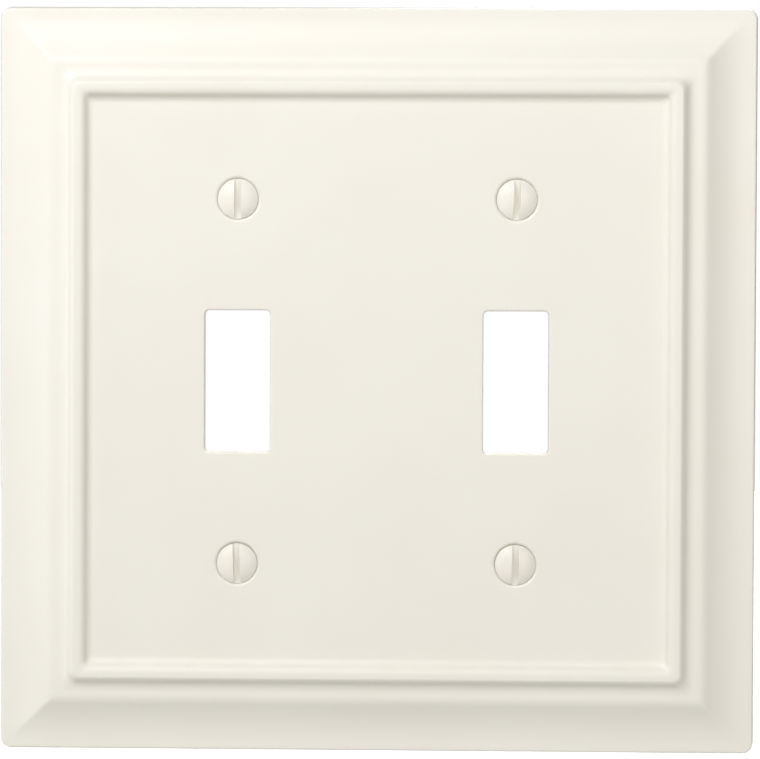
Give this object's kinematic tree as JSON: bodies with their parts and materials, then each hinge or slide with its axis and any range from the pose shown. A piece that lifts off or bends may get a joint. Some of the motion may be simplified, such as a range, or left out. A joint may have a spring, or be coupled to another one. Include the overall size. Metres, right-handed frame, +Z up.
{
  "type": "toggle switch wall plate",
  "caption": "Square decorative wall plate with a sunk panel and toggle switch openings, held by oval-head screws in countersunk holes.",
  "frame": {"origin": "centre of the plate on the wall plane that its back rim lies on", "axes": "+X to the right seen from the front, +Y from the front into the wall, +Z up"},
  "size_m": [0.1264, 0.0173, 0.1244],
  "materials": {
    "plate_paint": "satin light almond paint over a zinc casting",
    "screw_metal": "satin paint on the head, bright zinc plating on the shank"
  },
  "bodies": {
    "plate": {"wall_plate": "plate_paint"},
    "screw_top_left": {"screw_top_left": "screw_metal"},
    "screw_top_right": {"screw_top_right": "screw_metal"},
    "screw_bottom_left": {"screw_bottom_left": "screw_metal"},
    "screw_bottom_right": {"screw_bottom_right": "screw_metal"}
  },
  "joints": [
    {"name": "screw_top_left_out", "type": "slide", "parent": "plate", "child": "screw_top_left", "axis": [0, -1, 0], "range_m": [0, 0.018]},
    {"name": "screw_top_right_out", "type": "slide", "parent": "plate", "child": "screw_top_right", "axis": [0, -1, 0], "range_m": [0, 0.018]},
    {"name": "screw_bottom_left_out", "type": "slide", "parent": "plate", "child": "screw_bottom_left", "axis": [0, -1, 0], "range_m": [0, 0.018]},
    {"name": "screw_bottom_right_out", "type": "slide", "parent": "plate", "child": "screw_bottom_right", "axis": [0, -1, 0], "range_m": [0, 0.018]}
  ]
}
